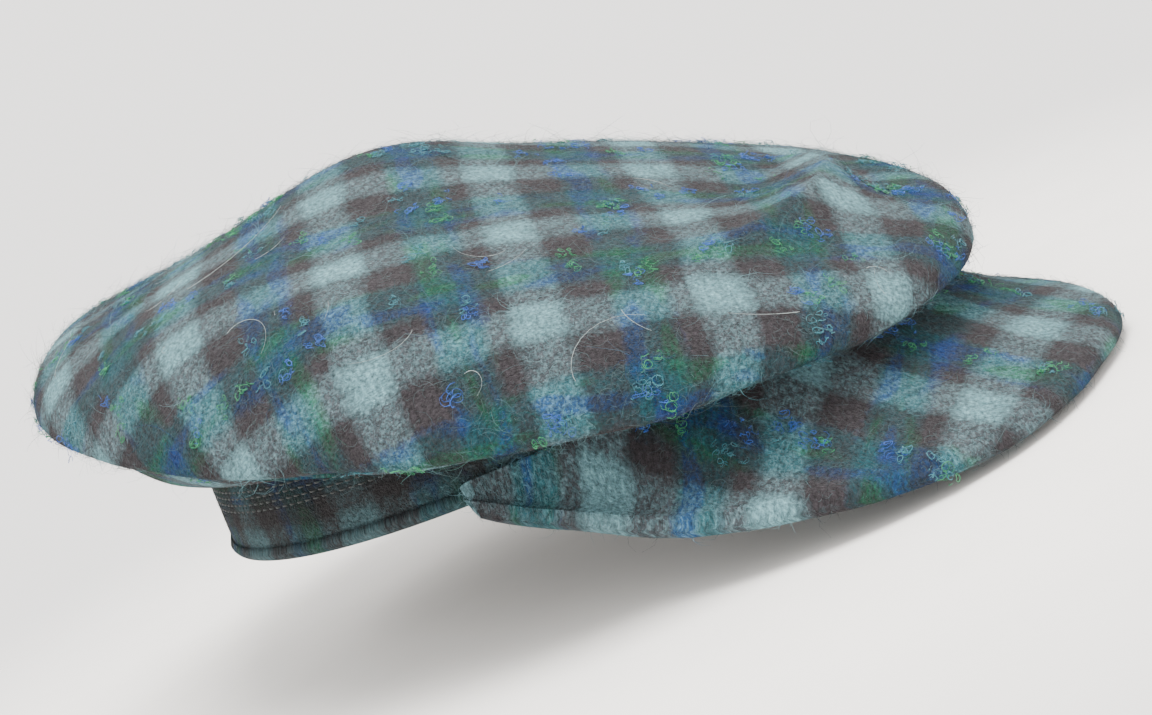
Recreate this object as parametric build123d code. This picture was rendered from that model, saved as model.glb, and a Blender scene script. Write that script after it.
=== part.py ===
from build123d import *
import os
from math import cos, radians, sin, sqrt, tan

# A soft newsboy cap. Millimetres, +Z up, the visor towards -Y, the wearer's right on -X.
# The origin is the centre of the head opening, on the plane of the band's bottom edge.

# Head band: an upright oval, a little narrower at its top
BAND_HALF_X = 83.0
BAND_HALF_Y = 103.0
BAND_HEIGHT = 26.0
BAND_TAPER = 2.5
TWEED = 2.0
INTERLINING = 1.0
RIBBON = 1.2
LAYER_GAP = 0.15

# Rows of stitching round the band, and one row along each edge of the sweatband
STITCH_ROWS = 5
STITCH_FIRST_Z = 13.5
STITCH_PITCH = 1.9
THREAD_RADIUS = 0.35
THREAD_GAP = 0.1
SWEATBAND_Z0 = 0.6
SWEATBAND_RISE = 1.0
SWEATBAND_STITCH_INSET = 2.2

# Crown: a flattened oval puff, lower in front than behind
CROWN_HALF_X = 114.0
CROWN_HALF_Y = 138.0
CROWN_CENTRE = (0.0, 2.0, 31.3)
CROWN_TILT = 15.0
CROWN_RISE = 38.0
CROWN_FALL = 12.0
CROWN_FLATNESS = 0.75
CROWN_STEPS = 12
CROWN_FIRST_TURN = 1.5
CROWN_SEAM_TURN = 105.0
SEAM_SHARE = 0.95
SEAM_CENTRE = (0.0, 2.6, 28.9)
UNDER_HALF_X = 99.0
UNDER_HALF_Y = 118.0
UNDER_CENTRE = (0.0, 1.5, 23.5)
UNDER_TILT = 11.0
UNDER_SECTIONS = 10

# Lining: a side wall that rises from the sweatband, and a sloping oval top panel
LINING = 0.8
LINING_HALF_X = 84.0
LINING_HALF_Y = 92.0
LINING_CENTRE = (0.0, 7.0, 49.0)
LINING_TILT = 14.0
LINING_SEAM_INSET = 1.6

# Visor: a thin board between two covers, sunk a little between the band and its rounded outline
VISOR_CORNER_ANGLE = 76.0
VISOR_HALF_WIDTH = 85.0
VISOR_CORNER_Y = -24.6
VISOR_REACH = 134.7
VISOR_ROUNDNESS = 2.6
VISOR_SLOPE = 15.2
VISOR_SIDE_DROP = 8.5
VISOR_DROP_RUN = 60.0
VISOR_SECTIONS = 13
VISOR_END_SHORTENING = 0.965
VISOR_BAND_GAP = 1.4
VISOR_ROOT_Z = 2.6
VISOR_DIP = 3.7
VISOR_DIP_RUN = 40.0
VISOR_BOARD = 1.6
VISOR_COVER = 1.6
VISOR_LAYER_GAP = 0.3
VISOR_BOARD_INSET = 2.2

# Labels, both blank
LABEL_WIDTH = 46.0
LABEL_DEPTH = 26.0
LABEL_THICKNESS = 0.5
LABEL_STITCH_INSET = 1.5
TAB_WIDTH = 14.0
TAB_HEIGHT = 12.0
TAB_THICKNESS = 0.8
TAB_Z = 10.0

SWEATBAND_OUTER = TWEED + INTERLINING + 2 * LAYER_GAP
SWEATBAND_INNER = SWEATBAND_OUTER + RIBBON


def oval(half_x, half_y, centre=(0.0, 0.0, 0.0), tilt=0.0):
    """A filled oval whose front is lowered by tilt degrees about the cap's left-right axis."""
    plane = Plane(Location(centre, (tilt, 0.0, 0.0)))
    return plane * Ellipse(half_x, half_y)


def band_oval(z, inset):
    """The band's outline at height z, moved inwards by inset."""
    taper = BAND_TAPER * z / BAND_HEIGHT
    return oval(BAND_HALF_X - taper - inset, BAND_HALF_Y - taper - inset, (0.0, 0.0, z))


def band_layer(z0, z1, outer_inset, thickness):
    """One strip of the head band, from z0 to z1."""
    outside = loft([band_oval(z0, outer_inset), band_oval(z1, outer_inset)], ruled=True)
    inner_inset = outer_inset + thickness
    inside = loft([band_oval(z0, inner_inset), band_oval(z1, inner_inset)], ruled=True)
    return outside - inside


def thread_ring(z, inset):
    """One row of thread round the band."""
    taper = BAND_TAPER * z / BAND_HEIGHT
    half_x = BAND_HALF_X - taper - inset
    half_y = BAND_HALF_Y - taper - inset
    path = Location((0.0, 0.0, z)) * Edge.make_ellipse(half_x, half_y)
    section = Plane(path @ 0, z_dir=path % 0) * Circle(THREAD_RADIUS)
    return sweep(section, path)


def crown_ring(step, inset):
    """One oval of the puff: step 0 is the crown's top and CROWN_STEPS is its hidden seam."""
    turn = radians(CROWN_FIRST_TURN + (CROWN_SEAM_TURN - CROWN_FIRST_TURN) * step / CROWN_STEPS)
    share = abs(sin(turn)) ** CROWN_FLATNESS
    rise = CROWN_RISE if cos(turn) > 0 else CROWN_FALL
    height = (rise - inset) * cos(turn)
    slope = radians(CROWN_TILT)
    x, y, z = CROWN_CENTRE
    centre = (x, y - height * sin(slope), z + height * cos(slope))
    return oval((CROWN_HALF_X - inset) * share, (CROWN_HALF_Y - inset) * share, centre, CROWN_TILT)


def crown_top():
    """The tweed top in one piece, rolled over the sides down to the hidden seam."""
    outside = loft([crown_ring(step, 0.0) for step in range(CROWN_STEPS + 1)], ruled=True)
    inside = loft([crown_ring(step, TWEED) for step in range(CROWN_STEPS + 2)], ruled=True)
    return outside - inside


def on_oval(half_x, half_y, centre, tilt, angle):
    """The point of a tilted oval that lies at angle degrees from the front, seen from above."""
    x, y, z = centre
    across = sin(radians(angle)) / half_x
    along = -cos(radians(angle)) / (half_y * cos(radians(tilt)))
    offset = -y / (half_y * cos(radians(tilt)))
    a = across**2 + along**2
    b = along * offset
    reach = (-b + sqrt(b**2 - a * (offset**2 - 1.0))) / a
    point_y = -reach * cos(radians(angle))
    return Vector(reach * sin(radians(angle)), point_y, z + (point_y - y) * tan(radians(tilt)))


def underside_section(angle):
    """The cut through the crown's underside at angle degrees from the front."""
    seam = on_oval(CROWN_HALF_X * SEAM_SHARE, CROWN_HALF_Y * SEAM_SHARE, SEAM_CENTRE, CROWN_TILT, angle)
    middle = on_oval(UNDER_HALF_X, UNDER_HALF_Y, UNDER_CENTRE, UNDER_TILT, angle)
    half_x = BAND_HALF_X - BAND_TAPER
    half_y = BAND_HALF_Y - BAND_TAPER
    root = on_oval(half_x, half_y, (0.0, 0.0, BAND_HEIGHT + LAYER_GAP), 0.0, angle)
    lift = Vector(0.0, 0.0, TWEED)
    corners = [seam, middle, root, root + lift, middle + lift, seam + lift]
    return Face(Wire.make_polygon(corners, close=True))


def crown_underside():
    """The tweed ring that turns back in from the hidden seam to the top of the band."""
    steps = range(UNDER_SECTIONS + 1)
    right = loft([underside_section(180.0 * i / UNDER_SECTIONS) for i in steps])
    left = loft([underside_section(180.0 + 180.0 * i / UNDER_SECTIONS) for i in steps])
    return right + left


def below_lining(drop):
    """The point that lies drop straight below the centre of the lining's sloping top panel."""
    x, y, z = LINING_CENTRE
    return x, y + drop * sin(radians(LINING_TILT)), z - drop * cos(radians(LINING_TILT))


def lining_top():
    """The lining's sloping oval top panel."""
    panel = oval(LINING_HALF_X, LINING_HALF_Y, LINING_CENTRE, LINING_TILT)
    return extrude(panel, LINING)


def lining_side():
    """The lining's side wall, from the sweatband's top edge up to the top panel."""
    foot_z = SWEATBAND_Z0 + BAND_HEIGHT + SWEATBAND_RISE + LAYER_GAP

    def wall(inset):
        foot = band_oval(foot_z, SWEATBAND_OUTER + inset)
        head = oval(LINING_HALF_X - inset, LINING_HALF_Y - inset, below_lining(LAYER_GAP), LINING_TILT)
        return loft([foot, head], ruled=True)

    return wall(0.0) - wall(LINING)


def lining_seam_stitches():
    """The row of thread that joins the lining's top panel to its side wall."""
    centre = below_lining(THREAD_RADIUS + LAYER_GAP)
    inset = LINING + LINING_SEAM_INSET
    edge = Edge.make_ellipse(LINING_HALF_X - inset, LINING_HALF_Y - inset)
    path = Plane(Location(centre, (LINING_TILT, 0.0, 0.0))) * edge
    section = Plane(path @ 0, z_dir=path % 0) * Circle(THREAD_RADIUS)
    return sweep(section, path)


def visor_root(angle):
    """The point on the band's bottom edge that the visor grows from, angle degrees from the front."""
    a = radians(angle)
    return -(BAND_HALF_X + VISOR_BAND_GAP) * sin(a), -(BAND_HALF_Y + VISOR_BAND_GAP) * cos(a)


def visor_tip(share):
    """The point on the visor's outline, share -1 to 1 from one corner to the other."""
    a = radians(90.0 * share)
    power = 2.0 / VISOR_ROUNDNESS
    side = -1.0 if share > 0 else 1.0
    x = side * VISOR_HALF_WIDTH * abs(sin(a)) ** power
    y = VISOR_CORNER_Y - VISOR_REACH * cos(a) ** power
    run = VISOR_CORNER_Y - y
    arch = VISOR_SIDE_DROP * (x / VISOR_HALF_WIDTH) ** 2 * min(run / VISOR_DROP_RUN, 1.0)
    return x, y, -run * tan(radians(VISOR_SLOPE)) - arch


def visor_section(share, z_low, z_high, edge_inset):
    """The visor's cut at one place round it, from the band out to its edge, for one layer."""
    root_x, root_y = visor_root(share * VISOR_CORNER_ANGLE)
    tip_x, tip_y, tip_z = visor_tip(share)
    length = sqrt((tip_x - root_x) ** 2 + (tip_y - root_y) ** 2)
    keep = 1.0 - edge_inset / length
    dip = VISOR_DIP * min(length / VISOR_DIP_RUN, 1.0)
    middle = []
    for reach, sink in ((0.0, 0.0), (1 / 3, dip), (2 / 3, dip), (keep, 3 * dip * (1.0 - keep))):
        z = VISOR_ROOT_Z + (tip_z - VISOR_ROOT_Z) * reach - sink
        middle.append(Vector(root_x + (tip_x - root_x) * reach, root_y + (tip_y - root_y) * reach, z))
    low = [point + Vector(0.0, 0.0, z_low) for point in middle]
    high = [point + Vector(0.0, 0.0, z_high) for point in reversed(middle)]
    return Face(Wire.make_polygon(low + high, close=True))


def visor_layer(z_low, z_high, edge_inset):
    """One layer of the visor, from corner to corner."""
    last = VISOR_SECTIONS - 1
    shares = [VISOR_END_SHORTENING * (2.0 * i / last - 1.0) for i in range(VISOR_SECTIONS)]
    return loft([visor_section(share, z_low, z_high, edge_inset) for share in shares])


def maker_label():
    """A blank woven label under the lining's top panel."""
    centre = below_lining(LABEL_THICKNESS + LAYER_GAP)
    outline = Plane(Location(centre, (LINING_TILT, 0.0, 0.0))) * Rectangle(LABEL_WIDTH, LABEL_DEPTH)
    return extrude(outline, LABEL_THICKNESS)


def maker_label_stitches():
    """One line of thread along each short side of the maker's label."""
    centre = below_lining(LABEL_THICKNESS + 2 * LAYER_GAP + THREAD_RADIUS)
    frame = Location(centre, (LINING_TILT, 0.0, 0.0))
    offset = LABEL_WIDTH / 2 - LABEL_STITCH_INSET
    length = LABEL_DEPTH - 2 * LABEL_STITCH_INSET
    lines = [
        frame * Pos(side * offset, 0.0, 0.0) * Rot(90.0, 0.0, 0.0) * Cylinder(THREAD_RADIUS, length)
        for side in (-1.0, 1.0)
    ]
    return Compound(children=lines)


def size_tab():
    """A blank size tab on the sweatband, at the centre of the back."""
    taper = BAND_TAPER * TAB_Z / BAND_HEIGHT
    sagitta = TAB_WIDTH**2 / 8 / BAND_HALF_X**2 * BAND_HALF_Y
    y = BAND_HALF_Y - taper - SWEATBAND_INNER - sagitta - TAB_THICKNESS - LAYER_GAP
    return Pos(0.0, y, TAB_Z) * Box(TAB_WIDTH, TAB_THICKNESS, TAB_HEIGHT)


def build():
    sweatband_top = SWEATBAND_Z0 + BAND_HEIGHT + SWEATBAND_RISE
    outer_thread = -(THREAD_RADIUS + THREAD_GAP)
    inner_thread = SWEATBAND_INNER + THREAD_RADIUS + THREAD_GAP
    row_heights = [STITCH_FIRST_Z + STITCH_PITCH * i for i in range(STITCH_ROWS)]
    edge_heights = [SWEATBAND_Z0 + SWEATBAND_STITCH_INSET, sweatband_top - SWEATBAND_STITCH_INSET]
    board_low = -VISOR_BOARD / 2
    board_high = VISOR_BOARD / 2
    top_low = board_high + VISOR_LAYER_GAP
    under_high = board_low - VISOR_LAYER_GAP
    return {
        "crown_top": crown_top(),
        "crown_underside": crown_underside(),
        "crown_lining_top": lining_top(),
        "crown_lining_side": lining_side(),
        "lining_seam_stitches": lining_seam_stitches(),
        "outer_band": band_layer(0.0, BAND_HEIGHT, 0.0, TWEED),
        "band_interlining": band_layer(SWEATBAND_Z0, BAND_HEIGHT, TWEED + LAYER_GAP, INTERLINING),
        "sweatband": band_layer(SWEATBAND_Z0, sweatband_top, SWEATBAND_OUTER, RIBBON),
        "band_stitch_rows": Compound(children=[thread_ring(z, outer_thread) for z in row_heights]),
        "sweatband_stitches": Compound(children=[thread_ring(z, inner_thread) for z in edge_heights]),
        "visor_board": visor_layer(board_low, board_high, VISOR_BOARD_INSET),
        "visor_top_cover": visor_layer(top_low, top_low + VISOR_COVER, 0.0),
        "visor_under_cover": visor_layer(under_high - VISOR_COVER, under_high, 0.0),
        "maker_label": maker_label(),
        "maker_label_stitches": maker_label_stitches(),
        "size_tab": size_tab(),
    }


os.makedirs("parts", exist_ok=True)
for node, shape in build().items():
    export_step(shape, f"parts/{node}.step")
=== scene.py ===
import bpy
import numpy as np
from mathutils import Matrix, Vector


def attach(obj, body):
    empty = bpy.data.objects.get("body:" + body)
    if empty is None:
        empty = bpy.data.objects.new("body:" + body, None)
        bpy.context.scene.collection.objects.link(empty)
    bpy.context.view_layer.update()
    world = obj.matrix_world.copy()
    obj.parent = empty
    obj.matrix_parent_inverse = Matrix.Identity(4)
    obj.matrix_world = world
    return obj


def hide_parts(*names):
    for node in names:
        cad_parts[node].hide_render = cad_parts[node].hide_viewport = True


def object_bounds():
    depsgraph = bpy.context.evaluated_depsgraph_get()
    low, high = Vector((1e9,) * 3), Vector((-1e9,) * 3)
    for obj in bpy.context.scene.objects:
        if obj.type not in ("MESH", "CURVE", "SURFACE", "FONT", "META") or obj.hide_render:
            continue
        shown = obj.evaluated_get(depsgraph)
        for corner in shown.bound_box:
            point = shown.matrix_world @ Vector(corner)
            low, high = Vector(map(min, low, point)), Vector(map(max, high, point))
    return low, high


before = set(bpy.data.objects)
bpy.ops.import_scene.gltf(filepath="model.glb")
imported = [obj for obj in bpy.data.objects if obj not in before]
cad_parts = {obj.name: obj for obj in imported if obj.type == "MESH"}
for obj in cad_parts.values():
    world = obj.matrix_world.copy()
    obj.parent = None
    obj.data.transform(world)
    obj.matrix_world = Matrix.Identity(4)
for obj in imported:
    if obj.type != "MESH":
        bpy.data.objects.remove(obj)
cad_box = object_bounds()

MM = 0.001
SEED = 11
FINE = 2

# The same driving sizes as the frame, in millimetres
BAND_HALF = (83.0, 103.0)
BAND_HEIGHT = 26.0
BAND_TAPER = 2.5
CROWN_HALF = (113.0, 139.0)
CROWN_CENTRE = (0.0, 2.0, 31.3)
CROWN_TILT = 15.0
CROWN_RISE = 35.5
CROWN_FALL = 9.0
CROWN_FLATNESS = 0.75
SEAM_TURN = 118.0

# How the crown's cloth rests on the band's top edge and falls away outside it
REST_HEIGHT = 30.0
REST_EDGE = 1.02
REST_FALL = 150.0
REST_BLEND = 2.0

# The cloth: a check of four stripes each way, in millimetres
CHECK = 45.0
YARN = 1.2

# Thicknesses of the pieces' cloth, in millimetres
TWEED = 1.6
VISOR_TWEED_THICKNESS = 1.2
BAND_TWEED_THICKNESS = 1.4
BOARD = 1.4
RIBBON = 0.8
SATIN = 0.4
LABEL = 0.4
TAB = 0.5

# The crown's first turn over the roll, just off its very top, in degrees
FIRST_TURN = 0.02


# ---------------------------------------------------------------- mesh helpers

def grid_faces(rows, columns, closed):
    """Quads of a rows by columns grid of points, joined round the columns if closed."""
    last = columns if closed else columns - 1
    i = np.arange(rows - 1)[:, None]
    j = np.arange(last)[None, :]
    k = (j + 1) % columns
    a = i * columns + j
    b = i * columns + k
    return np.stack([a, b, b + columns, a + columns], -1).reshape(-1, 4)


def make_object(name, points, faces, cloth=None, smooth=True):
    """A mesh object from points in millimetres; cloth has each face corner's place on the flat cloth."""
    mesh = bpy.data.meshes.new(name)
    mesh.from_pydata((points * MM).tolist(), [], faces.tolist())
    if cloth is not None:
        layer = mesh.uv_layers.new(name="cloth")
        layer.data.foreach_set("uv", cloth.astype(np.float32).ravel())
    if smooth:
        mesh.polygons.foreach_set("use_smooth", np.ones(len(mesh.polygons), dtype=bool))
    mesh.update()
    obj = bpy.data.objects.new(name, mesh)
    bpy.context.scene.collection.objects.link(obj)
    return obj


def grid_object(name, points, cloth, closed):
    """An object from a grid of points (rows, columns, 3); cloth has one more column if the grid is closed."""
    rows, columns = points.shape[:2]
    faces = grid_faces(rows, columns, closed)
    wide = cloth.shape[1]
    i = np.arange(rows - 1)[:, None]
    j = np.arange(columns if closed else columns - 1)[None, :]
    corner = np.stack([i * wide + j, i * wide + j + 1, (i + 1) * wide + j + 1, (i + 1) * wide + j], -1)
    return make_object(name, points.reshape(-1, 3), faces, cloth.reshape(-1, 2)[corner.reshape(-1)])


def thicken(obj, thickness, offset=-1.0):
    """Gives a sheet its cloth thickness, in millimetres."""
    solid = obj.modifiers.new("thickness", "SOLIDIFY")
    solid.thickness = thickness * MM
    solid.offset = offset
    solid.use_even_offset = False


def smooth_step(x, low, high):
    t = np.clip((x - low) / (high - low), 0.0, 1.0)
    return t * t * (3.0 - 2.0 * t)


def hill(x, y, cx, cy, sx, sy, turn=0.0):
    """A smooth bump of height 1 at (cx, cy), with widths sx and sy, turned by turn degrees."""
    a = np.radians(turn)
    dx = (x - cx) * np.cos(a) + (y - cy) * np.sin(a)
    dy = -(x - cx) * np.sin(a) + (y - cy) * np.cos(a)
    return np.exp(-((dx / sx) ** 2) - ((dy / sy) ** 2))


def ripples(x, y, z, size, seed, count=18):
    """Smooth seeded waves about size millimetres long, roughly between -1 and 1."""
    rng = np.random.default_rng(seed)
    total = 0.0
    for _ in range(count):
        direction = rng.normal(size=3)
        direction /= np.linalg.norm(direction)
        length = size * rng.uniform(0.7, 1.5)
        phase = rng.uniform(0.0, 2.0 * np.pi)
        run = x * direction[0] + y * direction[1] + z * direction[2]
        total = total + np.sin(2.0 * np.pi * run / length + phase)
    return total / np.sqrt(count)


# ---------------------------------------------------------------- crown

# The crown's top leans down to the left and sinks in front and behind; then its swells and hollows, each with a
# height, a place, two widths and a turn: the lift over the head, the hollow behind the front ridge, and the ridge
SIDE_LEAN = -9.0
FRONT_SINK = 8.8
BACK_SINK = 9.0
BACK_SINK_START = 14.0
SINK_REACH = 125.0
SWELLS = (
    (12.7, 0.0, 25.0, 42.0, 40.0, 0.0),
    (-3.5, 30.0, -80.0, 36.0, 16.0, -24.0),
    (3.5, -8.0, -104.0, 40.0, 13.0, -24.0),
)
TOP_TURNS = (35.0, 88.0)
SAG = 1.5
BACK_SAG = 5.0


def puff_to_frame(p):
    """Points of the puff's own sloping frame, in the cap's frame."""
    slope = np.radians(CROWN_TILT)
    x, y, z = p[..., 0], p[..., 1], p[..., 2]
    out_y = y * np.cos(slope) - z * np.sin(slope)
    out_z = y * np.sin(slope) + z * np.cos(slope)
    return np.stack([x, out_y, out_z], -1) + np.array(CROWN_CENTRE)


def crown_shape(angle, turn):
    """The crown's outside at an angle round it, in radians from the front, and a turn over its roll."""
    share = np.abs(np.sin(turn)) ** CROWN_FLATNESS
    height = np.where(np.cos(turn) > 0.0, CROWN_RISE, CROWN_FALL) * np.cos(turn)
    x = -CROWN_HALF[0] * share * np.sin(angle)
    y = -CROWN_HALF[1] * share * np.cos(angle)
    on_top = smooth_step(-turn, -np.radians(TOP_TURNS[1]), -np.radians(TOP_TURNS[0]))
    height = height + on_top * sculpt(x, y)
    p = puff_to_frame(np.stack([x, y, height], -1))
    p = p + creases(p, share)
    lifted = np.where(turn < 0.5 * np.pi, rest_on_band(p), p[..., 2])
    return np.stack([p[..., 0], p[..., 1], lifted], -1)


def rest_on_band(p):
    """The height of the cloth, held up where the band's top edge is under it."""
    out = np.hypot(p[..., 0] / BAND_HALF[0], p[..., 1] / BAND_HALF[1])
    rest = REST_HEIGHT - REST_FALL * np.maximum(out - REST_EDGE, 0.0)
    gap = p[..., 2] - rest
    return rest + 0.5 * (gap + np.sqrt(gap**2 + REST_BLEND**2))


def sculpt(x, y):
    """Where the stuffed head lifts the cloth and where it sinks between."""
    lift = SIDE_LEAN * x / CROWN_HALF[0]
    lift = lift - FRONT_SINK * smooth_step(-y, 0.0, SINK_REACH)
    lift = lift - BACK_SINK * smooth_step(y, BACK_SINK_START, SINK_REACH)
    for height, cx, cy, sx, sy, turn in SWELLS:
        lift = lift + height * hill(x, y, cx, cy, sx, sy, turn)
    return lift


def creases(p, share):
    """Small soft waves, stronger near the roll, as displacements in millimetres."""
    x, y, z = p[..., 0], p[..., 1], p[..., 2]
    wave = 0.55 * ripples(x, y, z, 70.0, SEED) + 0.35 * ripples(x, y, z, 32.0, SEED + 1)
    weight = 0.35 + 0.65 * smooth_step(share, 0.55, 1.0)
    amount = wave * weight
    return np.stack([0.3 * amount, 0.3 * amount, amount], -1)


def crown_cloth(points, angle):
    """Flat cloth coordinates in millimetres: distance from the top along the cloth, in its own direction."""
    steps = np.linalg.norm(np.diff(points, axis=0), axis=-1)
    run = np.vstack([np.zeros((1, steps.shape[1])), np.cumsum(steps, axis=0)])
    run = np.hstack([run, run[:, :1]])
    wide = np.append(angle, angle[0] + 2.0 * np.pi)
    heading = np.arctan2(CROWN_HALF[0] * np.sin(wide), CROWN_HALF[1] * np.cos(wide))
    return np.stack([-run * np.sin(heading), -run * np.cos(heading)], -1)


def crown_top():
    """The one-piece tweed top, down to the hidden seam."""
    columns, rows = 180 * FINE, 60 * FINE
    angle = np.linspace(0.0, 2.0 * np.pi, columns, endpoint=False)
    turn = np.radians(np.linspace(FIRST_TURN, SEAM_TURN, rows))
    points = crown_shape(angle[None, :], turn[:, None])
    cloth = crown_cloth(points, angle)
    obj = grid_object("crown_top_cloth", points, cloth, True)
    thicken(obj, TWEED)
    return obj


def rim_of_top(angle):
    """The top's lower edge at each angle."""
    return crown_shape(angle, np.full_like(angle, np.radians(SEAM_TURN)))


def crown_underside():
    """The ring under the crown, from the hidden seam in to the top of the band."""
    columns, rows = 180 * FINE, 22 * FINE
    angle = np.linspace(0.0, 2.0 * np.pi, columns, endpoint=False)
    outer = rim_of_top(angle)
    half = np.array(BAND_HALF) - BAND_TAPER
    height = np.full_like(angle, BAND_HEIGHT)
    inner = np.stack([-half[0] * np.sin(angle), -half[1] * np.cos(angle), height], -1)
    t = np.linspace(0.0, 1.0, rows)[:, None]
    points = outer[None] * (1.0 - t[..., None]) + inner[None] * t[..., None]
    back = smooth_step(points[..., 1], -20.0, 70.0)
    sag = np.sin(np.pi * t) * (SAG + BACK_SAG * back)
    points[..., 2] -= sag
    steps = np.linalg.norm(np.diff(points, axis=0), axis=-1)
    run = np.vstack([np.zeros((1, columns)), np.cumsum(steps, axis=0)])
    radius = np.linalg.norm(outer[:, :2], axis=-1)
    radius = np.append(radius, radius[0])
    run = np.hstack([run, run[:, :1]])
    wide = np.append(angle, 2.0 * np.pi)
    cloth = np.stack([-(radius - run) * np.sin(wide), -(radius - run) * np.cos(wide)], -1)
    obj = grid_object("crown_underside_cloth", points, cloth, True)
    thicken(obj, TWEED, 1.0)
    return obj


# ---------------------------------------------------------------- visor

VISOR_CORNER_ANGLE = 76.0
VISOR_GAP = 1.4
VISOR_HALF_WIDTH = 85.0
VISOR_CORNER_Y = -24.6
VISOR_REACH = 134.7
VISOR_ROUNDNESS = 2.6
VISOR_SLOPE = 15.2
VISOR_SIDE_DROP = 8.5
VISOR_DROP_RUN = 60.0
VISOR_ROOT_Z = 2.6
VISOR_DIP = 3.9
VISOR_DIP_RUN = 40.0
VISOR_HALF_THICKNESS = 2.7
VISOR_EDGE = 3.4
VISOR_SPREAD = 0.985
VISOR_THIN_RUN = 12.0
VISOR_CLOTH_SLOPE = 28.0
VISOR_CLOTH_WIDENING = 1.03
BOARD_MARGIN = 1.0
BOARD_SPREAD = 0.9


def visor_root(share):
    a = np.radians(VISOR_CORNER_ANGLE) * share
    x = -(BAND_HALF[0] + VISOR_GAP) * np.sin(a)
    y = -(BAND_HALF[1] + VISOR_GAP) * np.cos(a)
    return np.stack([x, y, np.full_like(x, VISOR_ROOT_Z)], -1)


def visor_tip(share):
    a = 0.5 * np.pi * share
    power = 2.0 / VISOR_ROUNDNESS
    x = -np.sign(share) * VISOR_HALF_WIDTH * np.abs(np.sin(a)) ** power
    y = VISOR_CORNER_Y - VISOR_REACH * np.abs(np.cos(a)) ** power
    run = VISOR_CORNER_Y - y
    arch = VISOR_SIDE_DROP * (x / VISOR_HALF_WIDTH) ** 2 * np.minimum(run / VISOR_DROP_RUN, 1.0)
    return np.stack([x, y, -run * np.tan(np.radians(VISOR_SLOPE)) - arch], -1)


def visor_middle(columns, rows, margin, spread=VISOR_SPREAD):
    """The visor's middle surface, from the band to margin short of its outline, and the lines it follows."""
    share = np.linspace(-spread, spread, columns)
    root, tip = visor_root(share), visor_tip(share)
    line = tip - root
    length = np.linalg.norm(line, axis=-1, keepdims=True)
    along = line / length
    margin = np.minimum(margin, 0.4 * length)
    t = np.linspace(0.0, 1.0, rows)[:, None, None]
    points = root + along * (length - margin) * t
    points[..., 2] -= VISOR_DIP * np.sin(np.pi * t[..., 0]) * np.minimum(1.0, length[:, 0] / VISOR_DIP_RUN)
    return points, root, along, length, margin


def visor_cover(name, side):
    """One cover of the visor, side 1 above or -1 below, from the band out to the middle of its round edge."""
    flat, root, along, length, edge = visor_middle(90 * FINE, 24 * FINE, VISOR_EDGE)
    thin = VISOR_HALF_THICKNESS * np.minimum(1.0, length[:, 0] / VISOR_THIN_RUN)
    a = np.linspace(0.0, 0.5 * np.pi, 6 * FINE + 1)[1:, None, None]
    edge_part = root + along * (length - edge + edge * np.sin(a))
    unrolled = root + along * (length - edge + edge * a)
    laid = np.concatenate([flat, unrolled])
    flat = flat + np.array([0.0, 0.0, side]) * thin[:, None]
    edge_part[..., 2] += side * thin * np.cos(a[..., 0])
    points = np.concatenate([flat, edge_part])
    points[..., 2] += 0.18 * ripples(points[..., 0], points[..., 1], points[..., 2], 26.0, SEED + 4)
    steep = 1.0 / np.cos(np.radians(VISOR_CLOTH_SLOPE))
    cloth = np.stack([laid[..., 0] * VISOR_CLOTH_WIDENING, laid[..., 1] * steep], -1)
    if side < 0:
        points, cloth = points[:, ::-1], cloth[:, ::-1]
    obj = grid_object(name, points, cloth, False)
    thicken(obj, VISOR_TWEED_THICKNESS)
    return obj, points, cloth


def visor_board():
    """The stiff board inside the covers."""
    points = visor_middle(60 * FINE, 16 * FINE, VISOR_EDGE + BOARD_MARGIN, BOARD_SPREAD)[0]
    obj = grid_object("visor_board_sheet", points, points[..., :2], False)
    thicken(obj, BOARD, 0.0)
    return obj


# ---------------------------------------------------------------- head band

STITCH_FIRST_Z = 13.5
STITCH_PITCH = 1.9
STITCH_ROWS = 5
BAND_FOLD = 1.8
BAND_HEM = 2.0
BAND_INSET = 0.1
BAND_TOP_GAP = 0.3
QUILT_DEPTH = 0.45
SWEATBAND_Z = (0.6, 27.4)
SWEATBAND_INSET = 4.35
SWEATBAND_BOW = 0.25


def ring(angle, profile):
    """Points round the band for a profile of (inset, height) pairs in millimetres."""
    inset = profile[:, 0][:, None] + BAND_TAPER * profile[:, 1][:, None] / BAND_HEIGHT
    x = -(BAND_HALF[0] - inset) * np.sin(angle)[None]
    y = -(BAND_HALF[1] - inset) * np.cos(angle)[None]
    z = np.broadcast_to(profile[:, 1][:, None], x.shape)
    return np.stack([x, y, z], -1)


def ring_cloth(points, angle):
    """Distance round the band and height on it."""
    around = np.append(angle, 2.0 * np.pi) * np.mean(BAND_HALF)
    heights = points[:, 0, 2]
    return np.stack(np.broadcast_arrays(around[None, :], heights[:, None]), -1)


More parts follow.
